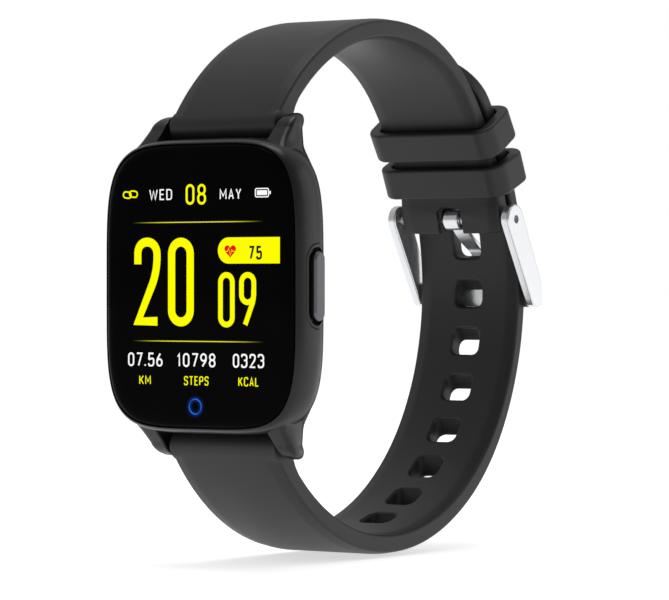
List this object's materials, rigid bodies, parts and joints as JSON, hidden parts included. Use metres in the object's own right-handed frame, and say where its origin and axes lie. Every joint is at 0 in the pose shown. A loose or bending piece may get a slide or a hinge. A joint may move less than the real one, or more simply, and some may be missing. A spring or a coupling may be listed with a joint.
{
  "type": "smartwatch",
  "caption": "Square touch-screen smartwatch with a side button, lugs on spring bars and a silicone strap closed into a loop by keepers and a tongue buckle.",
  "frame": {"origin": "centre of the flat back of the case, where the watch rests on the wrist", "axes": "+Y from the glass through the back towards the wrist, +X towards the button, +Z towards twelve o'clock"},
  "size_m": [0.0377, 0.0808, 0.0843],
  "materials": {
    "case": "satin black moulded case",
    "glass": "black polished cover glass with curved edges",
    "adhesive": "black foam adhesive",
    "film": "amber polyimide film",
    "display": "laminated display panel",
    "sheet_steel": "stamped sheet steel",
    "board": "green laminate circuit board",
    "chip": "moulded chip package",
    "cell": "foil pouch cell",
    "gold_contact": "gold plated contact",
    "led": "green lamp package",
    "button": "polished grey button",
    "steel": "polished stainless steel",
    "silicone": "matte charcoal silicone rubber",
    "seal": "black silicone seal"
  },
  "bodies": {
    "case": {"case_frame": "case", "cover_glass": "glass", "glass_adhesive": "adhesive", "touch_film": "film", "display_panel": "display", "display_bracket": "sheet_steel", "display_flex": "film", "main_board": "board", "shield_can": "sheet_steel", "memory_chip": "chip", "motion_sensor": "chip", "battery": "cell", "battery_pad": "adhesive", "vibration_motor": "sheet_steel", "antenna_strip": "gold_contact", "button_seal": "seal", "button_switch": "chip", "rear_gasket": "seal", "rear_cover": "case", "sensor_board": "board", "sensor_led_left": "led", "sensor_led_right": "led", "photodiode": "chip", "sensor_window": "glass", "charge_contact_left": "gold_contact", "charge_contact_right": "gold_contact", "case_screw_1": "steel", "case_screw_2": "steel", "case_screw_3": "steel", "case_screw_4": "steel", "spring_bar_upper": "steel", "spring_bar_lower": "steel"},
    "button": {"button_cap": "button", "button_clip": "steel"},
    "tip_upper_left": {"spring_tip_upper_left": "steel"},
    "tip_upper_right": {"spring_tip_upper_right": "steel"},
    "tip_lower_left": {"spring_tip_lower_left": "steel"},
    "tip_lower_right": {"spring_tip_lower_right": "steel"},
    "short_strap": {"strap_short": "silicone", "keeper_fixed": "silicone", "buckle_pin": "steel"},
    "sliding_keeper": {"keeper_sliding": "silicone"},
    "buckle": {"buckle_frame": "steel"},
    "tongue": {"buckle_tongue": "steel"},
    "long_strap": {"strap_long": "silicone"}
  },
  "joints": [
    {"name": "button_press", "type": "slide", "parent": "case", "child": "button", "axis": [-1, 0, 0], "range_m": [0, 0.0005], "stiffness_N_per_m": 2000, "springref_m": -0.0002},
    {"name": "short_strap_swing", "type": "hinge", "parent": "case", "child": "short_strap", "pos_m": [0, -0.00228, 0.0243], "axis": [1, 0, 0], "range_deg": [0, 60]},
    {"name": "long_strap_swing", "type": "hinge", "parent": "case", "child": "long_strap", "pos_m": [0, -0.00228, -0.0243], "axis": [-1, 0, 0], "range_deg": [0, 60], "deforming": ["strap_long"]},
    {"name": "keeper_slide", "type": "hinge", "parent": "short_strap", "child": "sliding_keeper", "pos_m": [0, 0.00922, -0.00362], "axis": [1, 0, 0], "range_deg": [-1.5, 6.5]},
    {"name": "buckle_swing", "type": "hinge", "parent": "short_strap", "child": "buckle", "pos_m": [0, 0.06026, 0.01102], "axis": [1, 0, 0], "range_deg": [0, 8]},
    {"name": "tongue_swing", "type": "hinge", "parent": "buckle", "child": "tongue", "pos_m": [0, 0.06026, 0.01102], "axis": [1, 0, 0], "range_deg": [0, 7]},
    {"name": "tip_upper_left_press", "type": "slide", "parent": "case", "child": "tip_upper_left", "axis": [1, 0, 0], "range_m": [0, 0.0012], "stiffness_N_per_m": 1000, "springref_m": -0.0005},
    {"name": "tip_upper_right_press", "type": "slide", "parent": "case", "child": "tip_upper_right", "axis": [-1, 0, 0], "range_m": [0, 0.0012], "stiffness_N_per_m": 1000, "springref_m": -0.0005},
    {"name": "tip_lower_left_press", "type": "slide", "parent": "case", "child": "tip_lower_left", "axis": [1, 0, 0], "range_m": [0, 0.0012], "stiffness_N_per_m": 1000, "springref_m": -0.0005},
    {"name": "tip_lower_right_press", "type": "slide", "parent": "case", "child": "tip_lower_right", "axis": [-1, 0, 0], "range_m": [0, 0.0012], "stiffness_N_per_m": 1000, "springref_m": -0.0005}
  ]
}
